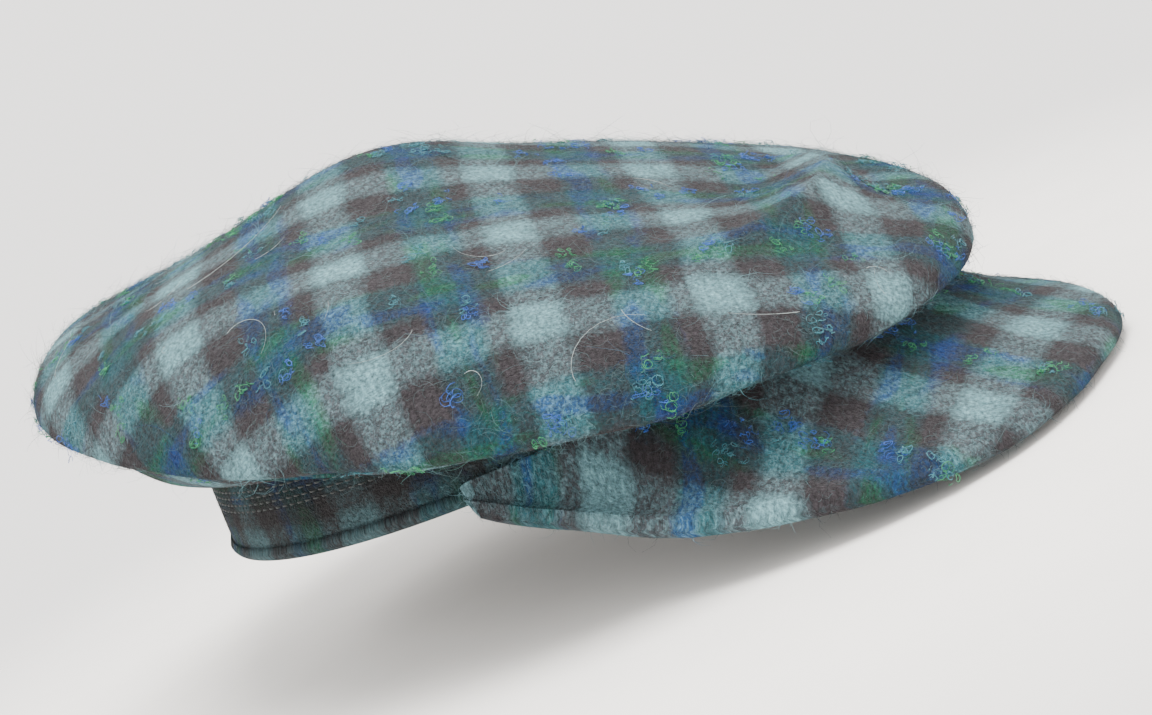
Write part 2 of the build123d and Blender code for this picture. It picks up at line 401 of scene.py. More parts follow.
def outer_band():
    """The tweed strip, folded round at its lower edge and quilted by the rows of stitching above."""
    columns = 220 * FINE
    angle = np.linspace(0.0, 2.0 * np.pi, columns, endpoint=False)
    fold = np.linspace(0.0, 0.5 * np.pi, 10)
    low = BAND_FOLD * np.stack([1.0 - np.sin(fold), 1.0 - np.cos(fold)], -1)
    z = np.linspace(BAND_FOLD, BAND_HEIGHT - BAND_TOP_GAP, 40 * FINE)
    rows = np.clip((z - STITCH_FIRST_Z) / STITCH_PITCH, -1.0, STITCH_ROWS)
    quilt = QUILT_DEPTH * (1.0 - np.abs(np.sin(np.pi * rows)) ** 0.6)
    wall = np.stack([BAND_INSET + quilt * (rows > -0.99), z], -1)
    profile = np.vstack([[[BAND_HEM, 0.0]], low[::-1][:-1] + [BAND_INSET, 0.0], wall])
    points = ring(angle, profile)
    wave = 0.25 * ripples(points[..., 0], points[..., 1], points[..., 2], 30.0, SEED + 6)
    points[..., :2] *= (1.0 + wave / np.mean(BAND_HALF) * smooth_step(points[..., 2], 0.0, 6.0))[..., None]
    cloth = ring_cloth(points, angle)
    obj = grid_object("outer_band_cloth", points, cloth, True)
    thicken(obj, BAND_TWEED_THICKNESS, 1.0)
    return obj, points, cloth


def sweatband():
    """A ribbed ribbon inside the band, rolled a little at its lower edge."""
    angle = np.linspace(0.0, 2.0 * np.pi, 200 * FINE, endpoint=False)
    z = np.linspace(*SWEATBAND_Z, 24)
    bow = SWEATBAND_BOW * np.cos(np.pi * (z - SWEATBAND_Z[0]) / (SWEATBAND_Z[1] - SWEATBAND_Z[0]))
    profile = np.stack([SWEATBAND_INSET + bow, z], -1)
    points = ring(angle, profile)
    obj = grid_object("sweatband_ribbon", points, ring_cloth(points, angle), True)
    thicken(obj, RIBBON, 1.0)
    return obj


# ---------------------------------------------------------------- lining and labels

LINING_HALF = (84.0, 92.0)
LINING_CENTRE = (0.0, 7.0, 49.0)
LINING_TILT = 14.0
LINING_FOOT = (3.9, 27.2)
LABEL_SIZE = (46.0, 26.0)
LABEL_DROP = 2.3
LABEL_BOW = 0.6
TAB_SIZE = (14.0, 12.0)
TAB_Z = 10.0
TAB_INSET = 6.9
TAB_CURVE = 150.0
TAB_BOW = 0.3


def lining_frame(p):
    """Points of the lining panel's own sloping frame, in the cap's frame."""
    slope = np.radians(LINING_TILT)
    y = p[..., 1] * np.cos(slope) - p[..., 2] * np.sin(slope)
    z = p[..., 1] * np.sin(slope) + p[..., 2] * np.cos(slope)
    return np.stack([p[..., 0], y, z], -1) + np.array(LINING_CENTRE)


def lining_top():
    """The lining's top panel, sagging a little and puckered towards its seam."""
    columns, rows = 120 * FINE, 30 * FINE
    angle = np.linspace(0.0, 2.0 * np.pi, columns, endpoint=False)[None, :]
    share = np.linspace(0.01, 1.0, rows)[:, None]
    x = -LINING_HALF[0] * share * np.sin(angle)
    y = -LINING_HALF[1] * share * np.cos(angle)
    gather = 0.5 * share**6 * np.sin(46.0 * angle + 2.0 * np.sin(5.0 * angle))
    sag = -1.6 * (1.0 - share**2) + 0.5 * ripples(x, y, 0.0 * x, 45.0, SEED + 8) * (1.0 - share)
    points = lining_frame(np.stack([x, y, sag + gather], -1))
    cloth = np.stack([x, y], -1)
    cloth = np.concatenate([cloth, cloth[:, :1]], 1)
    obj = grid_object("lining_top_satin", points, cloth, True)
    thicken(obj, SATIN, 1.0)
    return obj


def lining_side():
    """The lining's side wall, in soft upright folds."""
    columns, rows = 160 * FINE, 20 * FINE
    angle = np.linspace(0.0, 2.0 * np.pi, columns, endpoint=False)
    foot = ring(angle, np.array([LINING_FOOT]))[0]
    rim = np.stack([-LINING_HALF[0] * np.sin(angle), -LINING_HALF[1] * np.cos(angle), 0.0 * angle], -1)
    head = lining_frame(rim)
    t = np.linspace(0.0, 1.0, rows)[:, None]
    points = foot[None] * (1.0 - t[..., None]) + head[None] * t[..., None]
    fold = 0.8 * np.sin(np.pi * t) * np.sin(30.0 * angle + 1.5 * np.sin(7.0 * angle))[None]
    away = np.stack([np.sin(angle), np.cos(angle), 0.0 * angle], -1)
    points = points + fold[..., None] * away[None]
    obj = grid_object("lining_side_satin", points, ring_cloth(points, angle), True)
    thicken(obj, SATIN, 1.0)
    return obj


def label_sheet(name, size, place, thickness, bow):
    """A blank woven label, a little bowed; place turns its flat points into the cap's frame."""
    u = np.linspace(-0.5, 0.5, 30)[None, :] * size[0]
    v = np.linspace(-0.5, 0.5, 18)[:, None] * size[1]
    u, v = np.broadcast_arrays(u, v)
    lift = -bow * np.cos(np.pi * u / size[0]) * np.cos(np.pi * v / size[1])
    obj = grid_object(name, place(np.stack([u, v, lift], -1)), np.stack([u, v], -1), False)
    thicken(obj, thickness, 1.0)
    return obj


# ---------------------------------------------------------------- threads and fibres

def tubes(name, paths, radius, sides, cloth=None):
    """Closed tapered tubes along paths (count, steps, 3) in millimetres, as one object."""
    count, steps = paths.shape[:2]
    along = np.gradient(paths, axis=1)
    along /= np.linalg.norm(along, axis=-1, keepdims=True) + 1e-9
    helper = np.where(np.abs(along[..., 2:]) < 0.8, [0.0, 0.0, 1.0], [1.0, 0.0, 0.0])
    across = np.cross(along, helper)
    across /= np.linalg.norm(across, axis=-1, keepdims=True) + 1e-9
    other = np.cross(along, across)
    turn = np.arange(sides) * 2.0 * np.pi / sides
    circle = across[:, :, None] * np.cos(turn)[:, None] + other[:, :, None] * np.sin(turn)[:, None]
    points = paths[:, :, None] + circle * radius[:, :, None, None]
    i = np.arange(count)[:, None, None] * steps * sides
    j = np.arange(steps - 1)[None, :, None] * sides
    k = np.arange(sides)[None, None, :]
    n = (k + 1) % sides
    walls = np.stack([i + j + k, i + j + n, i + j + sides + n, i + j + sides + k], -1).reshape(-1, 4)
    faces = walls.tolist()
    for start in (np.arange(count) * steps * sides).tolist():
        faces.append([start + s for s in reversed(range(sides))])
        end = start + (steps - 1) * sides
        faces.append([end + s for s in range(sides)])
    mesh = bpy.data.meshes.new(name)
    mesh.from_pydata((points.reshape(-1, 3) * MM).tolist(), [], faces)
    mesh.polygons.foreach_set("use_smooth", np.ones(len(mesh.polygons), dtype=bool))
    if cloth is not None:
        layer = mesh.uv_layers.new(name="cloth")
        wall_uv = np.repeat(cloth, (steps - 1) * sides * 4, axis=0)
        cap_uv = np.repeat(cloth, 2 * sides, axis=0)
        layer.data.foreach_set("uv", np.vstack([wall_uv, cap_uv]).astype(np.float32).ravel())
    mesh.update()
    obj = bpy.data.objects.new(name, mesh)
    bpy.context.scene.collection.objects.link(obj)
    return obj


def stitches(name, line, length, gap, radius, away, closed=True):
    """A row of short stitches along a closed line (n, 3), each bowed outwards along away (n, 3)."""
    loop = np.vstack([line, line[:1]]) if closed else line
    out = np.vstack([away, away[:1]]) if closed else away
    run = np.append(0.0, np.cumsum(np.linalg.norm(np.diff(loop, axis=0), axis=-1)))
    starts = np.arange(0.0, run[-1] - length, length + gap)
    t = np.linspace(0.0, 1.0, 5)
    at = starts[:, None] + t[None] * length
    path = np.stack([np.interp(at, run, loop[:, c]) for c in range(3)], -1)
    bow = np.stack([np.interp(at, run, out[:, c]) for c in range(3)], -1)
    path = path + bow * (radius * (1.6 * np.sin(np.pi * t) - 0.8))[None, :, None]
    thick = radius * (0.55 + 0.45 * np.sin(np.pi * t))
    return tubes(name, path, np.broadcast_to(thick, at.shape), 6)


def join(name, objects):
    """Several mesh objects as one."""
    bpy.ops.object.select_all(action="DESELECT")
    for obj in objects:
        obj.select_set(True)
    bpy.context.view_layer.objects.active = objects[0]
    bpy.ops.object.join()
    objects[0].name = name
    return objects[0]


class Skin:
    """A surface that hairs grow from: points, outward normals and flat cloth places on a grid."""

    def __init__(self, points, cloth, flip):
        down = np.gradient(points, axis=0)
        across = np.gradient(points, axis=1)
        normal = np.cross(down, across) * flip
        area = np.linalg.norm(normal, axis=-1)
        self.points = points.reshape(-1, 3)
        self.normal = (normal / (area[..., None] + 1e-9)).reshape(-1, 3)
        self.cloth = cloth[:, : points.shape[1]].reshape(-1, 2)
        self.chance = (area / area.sum()).reshape(-1)

    def pick(self, rng, count):
        """Seeded grid points of the skin, spread by area."""
        i = rng.choice(len(self.points), count, p=self.chance)
        return self.points[i], self.normal[i], self.cloth[i]


def fuzz(name, skin, count, length, radius, lean, seed, steps=5):
    """Fine hairs that stand and curl out of the cloth."""
    rng = np.random.default_rng(seed)
    root, normal, cloth = skin.pick(rng, count)
    side = rng.normal(size=(count, 3))
    side -= normal * (side * normal).sum(-1, keepdims=True)
    side /= np.linalg.norm(side, axis=-1, keepdims=True)
    bend = np.cross(normal, side)
    size = length * rng.gamma(2.2, 0.42, size=(count, 1, 1))
    t = np.linspace(0.0, 1.0, steps)[None, :, None]
    rise = rng.uniform(0.15, 1.0, size=(count, 1, 1)) * (1.0 - lean)
    turn = rng.uniform(-2.6, 2.6, size=(count, 1, 1))
    path = (
        root[:, None]
        + normal[:, None] * size * rise * (t - 0.35 * t * t)
        + side[:, None] * size * lean * t * np.cos(turn * t)
        + bend[:, None] * size * lean * t * np.sin(turn * t)
        + rng.uniform(-0.5, 0.5, size=(count, 1, 3))
        - normal[:, None] * 0.4
    )
    thick = radius * (1.0 - 0.75 * t[..., 0]) * np.ones((count, 1))
    return tubes(name, path, thick, 3, cloth)


TUFT = 6
CURL_STEPS = 18


def curls(name, skin, count, seed, wanted):
    """Tangled little loops of boucle yarn in tufts; wanted says where on the flat cloth they may grow."""
    rng = np.random.default_rng(seed)
    root, normal, cloth = skin.pick(rng, count * 3)
    keep = np.flatnonzero(wanted(cloth))[: count // TUFT]
    root, normal = np.repeat(root[keep], TUFT, axis=0), np.repeat(normal[keep], TUFT, axis=0)
    count = len(root)
    side = rng.normal(size=(count, 3))
    side -= normal * (side * normal).sum(-1, keepdims=True)
    side /= np.linalg.norm(side, axis=-1, keepdims=True)
    bend = np.cross(normal, side)
    root = root + side * rng.normal(0.0, 1.5, size=(count, 1)) + bend * rng.normal(0.0, 1.5, size=(count, 1))
    t = np.linspace(0.0, 1.0, CURL_STEPS)[None, :, None]
    size = rng.uniform(0.5, 1.7, size=(count, 1, 1)) * (1.0 - 0.5 * t)
    turn = 2.0 * np.pi * rng.uniform(0.6, 1.9, size=(count, 1, 1)) * t
    squash = rng.uniform(0.3, 0.9, size=(count, 1, 1))
    wander = np.cumsum(rng.normal(0.0, 0.13, size=(count, CURL_STEPS, 3)), axis=1)
    height = 0.1 + np.sin(np.pi * t) * rng.uniform(0.1, 0.7, size=(count, 1, 1))
    path = root[:, None] + side[:, None] * size * np.cos(turn) + bend[:, None] * size * squash * np.sin(turn)
    path = path + normal[:, None] * height + wander
    thick = rng.uniform(0.05, 0.11, size=(count, 1)) * (0.5 + 0.5 * np.sin(np.pi * t[..., 0]))
    return tubes(name, path, thick, 4)


# ---------------------------------------------------------------- materials

class Nodes:
    """A short way to build a node material."""

    def __init__(self, name):
        self.material = bpy.data.materials.new(name)
        self.material.use_nodes = True
        self.tree = self.material.node_tree
        self.shader = self.tree.nodes["Principled BSDF"]

    def add(self, kind, **settings):
        node = self.tree.nodes.new(kind)
        for key, value in settings.items():
            setattr(node, key, value)
        return node

    def put(self, socket, value):
        """Links an output to the socket, or sets the socket's own value."""
        if isinstance(value, bpy.types.NodeSocket):
            self.tree.links.new(value, socket)
        else:
            socket.default_value = value

    def math(self, operation, a, b=0.0, c=0.0):
        node = self.add("ShaderNodeMath", operation=operation)
        for socket, value in zip(node.inputs, (a, b, c)):
            self.put(socket, value)
        return node.outputs[0]

    def blend(self, factor, a, b, mode="MIX"):
        node = self.add("ShaderNodeMix", data_type="RGBA", blend_type=mode)
        self.put(node.inputs[0], factor)
        self.put(node.inputs[6], a)
        self.put(node.inputs[7], b)
        return node.outputs[2]

    def noise(self, where, scale, detail=2.0, rough=0.5):
        node = self.add("ShaderNodeTexNoise")
        self.put(node.inputs["Vector"], where)
        self.put(node.inputs["Scale"], scale)
        self.put(node.inputs["Detail"], detail)
        self.put(node.inputs["Roughness"], rough)
        return node.outputs[0]

    def ramp(self, value, stops, interpolation="LINEAR"):
        node = self.add("ShaderNodeValToRGB")
        ramp = node.color_ramp
        ramp.interpolation = interpolation
        while len(ramp.elements) < len(stops):
            ramp.elements.new(0.5)
        for element, (place, color) in zip(ramp.elements, stops):
            element.position = place
            element.color = color if len(color) == 4 else (*color, 1.0)
        self.put(node.inputs[0], value)
        return node.outputs[0]

    def centred(self, value, amount):
        """A 0 to 1 value as a shift of up to half the amount either way."""
        return self.math("MULTIPLY", self.math("SUBTRACT", value, 0.5), amount)

    def cloth(self):
        """The piece's flat cloth coordinates, in millimetres."""
        return self.add("ShaderNodeUVMap", uv_map="cloth").outputs[0]

    def split(self, vector):
        node = self.add("ShaderNodeSeparateXYZ")
        self.put(node.inputs[0], vector)
        return node.outputs[0], node.outputs[1]

    def place(self, vector, turn=0.0, shift=(0.0, 0.0), stretch=(1.0, 1.0)):
        node = self.add("ShaderNodeMapping")
        self.put(node.inputs["Vector"], vector)
        node.inputs["Rotation"].default_value = (0.0, 0.0, np.radians(turn))
        node.inputs["Location"].default_value = (shift[0], shift[1], 0.0)
        node.inputs["Scale"].default_value = (stretch[0], stretch[1], 1.0)
        return node.outputs[0]

    def bump(self, height, distance, strength=1.0):
        node = self.add("ShaderNodeBump")
        self.put(node.inputs["Height"], height)
        node.inputs["Distance"].default_value = distance
        node.inputs["Strength"].default_value = strength
        self.put(self.shader.inputs["Normal"], node.outputs[0])

    def finish(self, color, roughness, sheen=0.0):
        self.put(self.shader.inputs["Base Color"], color)
        self.put(self.shader.inputs["Roughness"], roughness)
        self.shader.inputs["Sheen Weight"].default_value = sheen
        self.shader.inputs["Sheen Roughness"].default_value = 0.5
        self.shader.inputs["Specular IOR Level"].default_value = 0.1
        return self.material


PALE = (0.165, 0.330, 0.370)
TAUPE = (0.036, 0.031, 0.036)
TEAL = (0.010, 0.062, 0.078)
GREEN = (0.007, 0.088, 0.040)
BLUE = (0.006, 0.036, 0.145)
OFF = (0.0, 0.0, 0.0)
ON = (1.0, 1.0, 1.0)

# Where the pale and the teal stripe start, are full, stop being full and end, as shares of the check
PALE_EDGES = (0.21, 0.29, 0.47, 0.55)
TEAL_EDGES = (0.63, 0.71, 0.95, 1.0)

# How far the yarns wander slowly and jitter, in millimetres
WANDER = 7.0
YARN_JITTER = 5.0
HAIR_JITTER = 6.0


def stripe_color(n, distance, along, phase):
    """The yarn colour of one set of stripes at a distance across it, in millimetres."""
    share = n.math("FRACT", n.math("ADD", n.math("DIVIDE", distance, CHECK), phase))
    patch = n.noise(along, 0.11, 1.0)
    teal = n.ramp(patch, [(0.40, BLUE), (0.46, TEAL), (0.56, TEAL), (0.64, GREEN)])
    base = n.ramp(share, [(0.0, TAUPE), *zip(PALE_EDGES, (TAUPE, PALE, PALE, TAUPE)), (1.0, TAUPE)])
    is_teal = n.ramp(share, [(0.0, OFF), *zip(TEAL_EDGES, (OFF, ON, ON, OFF))])
    return n.blend(is_teal, base, teal)


def check_yarns(n, flat, phase, jitter):
    """Warp, weft and mixed colours at a place on the flat cloth, and how far it is along each."""
    u0, v0 = n.split(flat)
    slow = n.centred(n.noise(flat, 0.05, 2.0), WANDER)
    wobble = n.math("ADD", slow, n.centred(n.noise(flat, 0.7, 3.0), jitter))
    u = n.math("ADD", u0, wobble)
    v = n.math("ADD", v0, n.math("MULTIPLY", wobble, 0.8))
    warp = stripe_color(n, u, n.place(flat, 0.0, (0.0, 0.0), (1.0, 0.35)), phase[0])
    weft = stripe_color(n, v, n.place(flat, 0.0, (300.0, 0.0), (0.35, 1.0)), phase[1])
    product = n.blend(1.0, warp, weft, "MULTIPLY")
    root = n.add("ShaderNodeGamma")
    n.put(root.inputs["Color"], product)
    root.inputs["Gamma"].default_value = 0.5
    return warp, weft, root.outputs[0], u, v


def gray(n, value):
    """A value as a gray colour."""
    node = n.add("ShaderNodeCombineColor")
    for socket in node.inputs:
        n.put(socket, value)
    return node.outputs[0]


def tweed(name, turn, phase, painted_shade_dim=1.0, haze=0.74, bump=0.6):
    """Hairy check tweed: two sets of stripes crossing in a loose uneven twill, with a mohair haze over it; it can
    be darkened all over as painted shade.
    """
    n = Nodes(name)
    flat = n.place(n.cloth(), turn)
    warp, weft, mixed, u, v = check_yarns(n, flat, phase, YARN_JITTER)
    warp_count = n.math("DIVIDE", u, YARN)
    weft_count = n.math("DIVIDE", v, YARN)
    step = n.math("ADD", n.math("FLOOR", warp_count), n.math("FLOOR", weft_count))
    stray = n.centred(n.noise(flat, 0.9, 2.0), 1.6)
    turn_over = n.math("FRACT", n.math("ADD", n.math("MULTIPLY", step, 0.25), stray))
    over = n.math("LESS_THAN", turn_over, 0.5)
    crossing = n.blend(over, weft, warp)
    color = n.blend(haze, crossing, mixed)
    fibre = n.noise(n.place(flat, 24.0, (0.0, 0.0), (1.0, 0.3)), 2.2, 5.0, 0.75)
    blotch = n.noise(flat, 0.14, 3.0)
    pepper = n.noise(flat, 0.85, 2.0)
    grain = n.math("ADD", n.math("MULTIPLY", fibre, 2.4), -0.35)
    speck = n.math("ADD", n.math("MULTIPLY", pepper, 2.2), -0.1)
    depth = n.math("ADD", n.math("MULTIPLY", blotch, 1.0), 0.5)
    # The last factor darkens the whole cloth of a piece that sits in shade: painted shade, used for the band.
    shade = n.math("MULTIPLY", n.math("MULTIPLY", n.math("MULTIPLY", grain, speck), depth), painted_shade_dim)
    color = n.blend(1.0, color, gray(n, n.math("MAXIMUM", shade, 0.12 * painted_shade_dim)), "MULTIPLY")
    warp_round = n.math("ABSOLUTE", n.math("SINE", n.math("MULTIPLY", warp_count, np.pi)))
    weft_round = n.math("ABSOLUTE", n.math("SINE", n.math("MULTIPLY", weft_count, np.pi)))
    round_over = n.add("ShaderNodeMix", data_type="FLOAT")
    n.put(round_over.inputs[0], over)
    n.put(round_over.inputs[2], weft_round)
    n.put(round_over.inputs[3], warp_round)
    height = n.math("ADD", round_over.outputs[0], n.math("MULTIPLY", fibre, 2.0))
    n.bump(height, bump * MM, 1.0)
    return n.finish(color, 0.95, 0.05)


def haze_hair(name, turn, phase, lift, painted_shade_dim=1.0):
    """The hairs over the tweed: each takes the colour of a yarn where it grows, and some are paler; they can be
    darkened all over as painted shade.
    """
    n = Nodes(name)
    flat = n.place(n.cloth(), turn)
    warp, weft, mixed, _, _ = check_yarns(n, flat, phase, HAIR_JITTER)
    pick = n.math("GREATER_THAN", n.noise(flat, 3.0, 0.0), 0.5)
    color = n.blend(0.5, n.blend(pick, warp, weft), mixed)
    pale = n.math("MULTIPLY", n.math("GREATER_THAN", n.noise(flat, 5.0, 0.0), 0.52), lift)
    # The darkening factor scales the pale hairs and the whole hair colour down: painted shade, used for the
    # band's hairs.
    color = n.blend(pale, color, (0.17 * painted_shade_dim, 0.27 * painted_shade_dim, 0.28 * painted_shade_dim, 1.0))
    return n.finish(n.blend(1.0, color, gray(n, painted_shade_dim), "MULTIPLY"), 0.8)


def plain_thread(name, color, spread=0.25):
    """Wool or cotton thread: one colour with a slow change of shade along it and a twisted surface."""
    n = Nodes(name)
    where = n.add("ShaderNodeTexCoord").outputs["Object"]
    tone = n.noise(where, 900.0, 2.0)
    dark = tuple(c * (1.0 - spread) for c in color)
    light = tuple(min(1.0, c * (1.0 + spread)) for c in color)
    shade = n.ramp(tone, [(0.3, dark), (0.7, light)])
    n.bump(n.noise(where, 4000.0, 2.0), 0.05 * MM)
    return n.finish(shade, 0.85, 0.2)


def satin(name, color):
    """Lining satin: fine diagonal weave, a soft sheen and faint creases, with painted shade in the crease hollows
    and painted highlight on their ridges.
    """
    n = Nodes(name)
    flat = n.cloth()
    u, _ = n.split(n.place(flat, 27.0))
    weave = n.math("ABSOLUTE", n.math("SINE", n.math("MULTIPLY", u, 9.0)))
    crease = n.noise(flat, 0.12, 4.0, 0.6)
    # The colour follows the crease height: painted shade in the hollows, painted highlight on the ridges.
    shade = n.ramp(crease, [(0.35, tuple(c * 0.8 for c in color)), (0.7, tuple(c * 1.25 for c in color))])
    n.bump(n.math("ADD", n.math("MULTIPLY", weave, 0.08), n.math("MULTIPLY", crease, 1.0)), 0.8 * MM, 0.5)
    material = n.finish(shade, 0.38, 0.25)
    n.shader.inputs["Specular IOR Level"].default_value = 0.5
    return material


def ribbon(name, color):
    """Ribbed ribbon: fine ribs across its length."""
    n = Nodes(name)
    u, v = n.split(n.cloth())
    rib = n.math("ABSOLUTE", n.math("SINE", n.math("MULTIPLY", u, np.pi / 0.9)))
    tone = n.noise(n.cloth(), 0.35, 3.0)
    shade = n.ramp(tone, [(0.35, tuple(c * 0.75 for c in color)), (0.7, tuple(c * 1.3 for c in color))])
    cross = n.math("MULTIPLY", n.math("SINE", n.math("MULTIPLY", v, 14.0)), 0.15)
    n.bump(n.math("ADD", rib, cross), 0.3 * MM, 0.8)
    return n.finish(shade, 0.75, 0.2)


def label_weave(name):
    """A pale, finely woven blank label."""
    n = Nodes(name)
    flat = n.cloth()
    u, v = n.split(flat)
    warp = n.math("SINE", n.math("MULTIPLY", u, 20.0))
    weft = n.math("SINE", n.math("MULTIPLY", v, 20.0))
    fine = n.math("MULTIPLY", warp, weft)
    tone = n.noise(flat, 0.5, 3.0)
    shade = n.ramp(tone, [(0.3, (0.56, 0.53, 0.45)), (0.7, (0.70, 0.67, 0.58))])
    n.bump(fine, 0.08 * MM, 0.6)
    return n.finish(shade, 0.7, 0.1)


def hidden_board(name, color, scale):
    """A stiffener that the covers hide: pressed fibre with a fine mottle."""
    n = Nodes(name)
    where = n.add("ShaderNodeTexCoord").outputs["Object"]
    tone = n.noise(where, scale, 4.0)
    shade = n.ramp(tone, [(0.35, tuple(c * 0.85 for c in color)), (0.65, color)])
    n.bump(tone, 0.1 * MM, 0.5)
    return n.finish(shade, 0.8)


def paint(obj, material):
    obj.data.materials.clear()
    obj.data.materials.append(material)


# ---------------------------------------------------------------- the cap

CROWN_GRAIN = -36.0
CROWN_PHASE = (0.70, 0.587)
VISOR_GRAIN = 0.0
VISOR_PHASE = (0.18, 0.0)
BAND_PHASE = (0.0, 0.35)

TOP = tweed("crown_tweed", CROWN_GRAIN, CROWN_PHASE)
TOP_HAIR = haze_hair("crown_hair", CROWN_GRAIN, CROWN_PHASE, 0.35)
VISOR_TWEED = tweed("visor_tweed", VISOR_GRAIN, VISOR_PHASE)
VISOR_HAIR = haze_hair("visor_hair", VISOR_GRAIN, VISOR_PHASE, 0.35)
# The band's tweed and hairs are darker copies of the same cloth: painted shade, for the shade the band sits in
# under the crown's roll.
BAND_TWEED = tweed("band_tweed_painted_shade", 0.0, BAND_PHASE, painted_shade_dim=0.35)
BAND_HAIR = haze_hair("band_hair_painted_shade", 0.0, BAND_PHASE, 0.15, painted_shade_dim=0.4)


def place_piece(obj, material, slot, *nodes):
    paint(obj, material)
    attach(obj, "root")
    if nodes:
        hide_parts(*nodes)


# Lots of hairs: how many, and their length, radius and lean (0 upright, 1 flat), in millimetres
SHORT_HAIRS = (7600, 3.8, 0.055, 0.68)
STRAY_HAIRS = (7600, 8.0, 0.05, 0.5)
KEMP_HAIRS = (60, 13.0, 0.08, 0.96)
VISOR_HAIRS = (7000, 3.2, 0.055, 0.7)
VISOR_UNDER_HAIRS = (4000, 2.2, 0.05, 0.8)
BAND_HAIRS = (5000, 1.8, 0.045, 0.75)
KEMP_STEPS = 14
HAIR_SHARE = 1


def grow(name, skin, hairs, material, seed):
    count, length, radius, lean = hairs
    obj = fuzz(name, skin, count // HAIR_SHARE, length, radius, lean, seed)
    place_piece(obj, material, "check_tweed")


def build_crown():
    top = crown_top()
    place_piece(top, TOP, "check_tweed", "crown_top")
    under = crown_underside()
    place_piece(under, TOP, "check_tweed", "crown_underside")
    columns, rows = 900, 300
    angle = np.linspace(0.0, 2.0 * np.pi, columns, endpoint=False)
    turn = np.radians(np.linspace(0.02, 112.0, rows))
    points = crown_shape(angle[None, :], turn[:, None])
    skin = Skin(points, crown_cloth(points, angle), -1.0)
    for i in range(5):
        grow(f"crown_fuzz_short_{i}", skin, SHORT_HAIRS, TOP_HAIR, SEED + 70 + i)
    grow("crown_fuzz_stray", skin, STRAY_HAIRS, TOP_HAIR, SEED + 21)
    kemp = fuzz("crown_kemp_hairs", skin, *KEMP_HAIRS, SEED + 22, KEMP_STEPS)
    place_piece(kemp, plain_thread("kemp_hair", (0.36, 0.42, 0.42)), "check_tweed")
    return skin


def build_visor():
    top, points, cloth = visor_cover("visor_top_tweed", 1.0)
    place_piece(top, VISOR_TWEED, "check_tweed", "visor_top_cover")
    under, low_points, low_cloth = visor_cover("visor_under_tweed", -1.0)
    place_piece(under, VISOR_TWEED, "check_tweed", "visor_under_cover")
    upper = Skin(points, cloth, -1.0)
    for i in range(2):
        grow(f"visor_fuzz_{i}", upper, VISOR_HAIRS, VISOR_HAIR, SEED + 80 + i)
    grow("visor_under_fuzz", Skin(low_points, low_cloth, -1.0), VISOR_UNDER_HAIRS, VISOR_HAIR, SEED + 31)
    return upper


def build_band():
    band, points, cloth = outer_band()
    place_piece(band, BAND_TWEED, "check_tweed", "outer_band")
    grow("band_fuzz", Skin(points, cloth, 1.0), BAND_HAIRS, BAND_HAIR, SEED + 40)
    angle = np.linspace(0.0, 2.0 * np.pi, 720, endpoint=False)
    away = np.stack([-np.sin(angle), -np.cos(angle), 0.0 * angle], -1)
    rows = []
    for i in range(STITCH_ROWS):
        line = ring(angle, np.array([[0.15, STITCH_FIRST_Z + STITCH_PITCH * i]]))[0]
        rows.append(stitches(f"band_row_{i}", line, 2.6, 0.9, 0.26, away))
    thread = plain_thread("tweed_thread", (0.030, 0.034, 0.034))
    place_piece(join("band_stitching", rows), thread, "tweed_thread", "band_stitch_rows")
    inner = sweatband()
    place_piece(inner, ribbon("ribbon", (0.020, 0.024, 0.030)), "ribbon", "sweatband")
    edge_rows = []
    for i, height in enumerate((2.8, 25.4)):
        line = ring(angle, np.array([[5.0, height]]))[0]
        edge_rows.append(stitches(f"sweatband_row_{i}", line, 2.8, 1.2, 0.22, -away))
    seam = join("sweatband_stitching", edge_rows)
    place_piece(seam, plain_thread("dark_thread", (0.10, 0.13, 0.15)), "lining_thread", "sweatband_stitches")


def build_lining():
    lining = satin("satin", (0.018, 0.036, 0.050))
    place_piece(lining_top(), lining, "satin_lining", "crown_lining_top")
    place_piece(lining_side(), lining, "satin_lining", "crown_lining_side")
    angle = np.linspace(0.0, 2.0 * np.pi, 720, endpoint=False)
    flat = np.stack([-82.0 * np.sin(angle), -90.0 * np.cos(angle), np.full_like(angle, -0.7)], -1)
    slope = np.radians(LINING_TILT)
    down = np.broadcast_to(np.array([0.0, np.sin(slope), -np.cos(slope)]), flat.shape)
    seam = stitches("lining_seam_stitching", lining_frame(flat), 2.4, 0.9, 0.2, down)
    thread = plain_thread("lining_thread", (0.06, 0.09, 0.11))
    place_piece(seam, thread, "lining_thread", "lining_seam_stitches")
    weave = label_weave("label_weave")

    def under_lining(p):
        return lining_frame(p + [0.0, 0.0, -LABEL_DROP])

    label = label_sheet("maker_label_blank", LABEL_SIZE, under_lining, LABEL, LABEL_BOW)
    place_piece(label, weave, "label_weave", "maker_label")
    sides = []
    for i, x in enumerate((-21.5, 21.5)):
        y = np.linspace(-11.5, 11.5, 60)
        line = lining_frame(np.stack([np.full_like(y, x), y, np.full_like(y, -2.5)], -1))
        sides.append(stitches(f"label_row_{i}", line, 1.8, 0.7, 0.16, down[:60], closed=False))
    place_piece(join("maker_label_stitching", sides), thread, "lining_thread", "maker_label_stitches")

    def inside_back(p):
        y = BAND_HALF[1] - TAB_INSET - p[..., 0] ** 2 / TAB_CURVE
        return np.stack([p[..., 0], y + p[..., 2], TAB_Z + p[..., 1]], -1)

    tab = label_sheet("size_tab_blank", TAB_SIZE, inside_back, TAB, TAB_BOW)
    place_piece(tab, weave, "label_weave", "size_tab")


def finish_hidden():
    """The visor's board, and the band's canvas, which stays as its CAD part."""
    place_piece(visor_board(), hidden_board("board", (0.66, 0.65, 0.60), 700.0), "visor_board", "visor_board")
    paint(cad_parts["band_interlining"], hidden_board("canvas", (0.70, 0.67, 0.58), 1500.0))


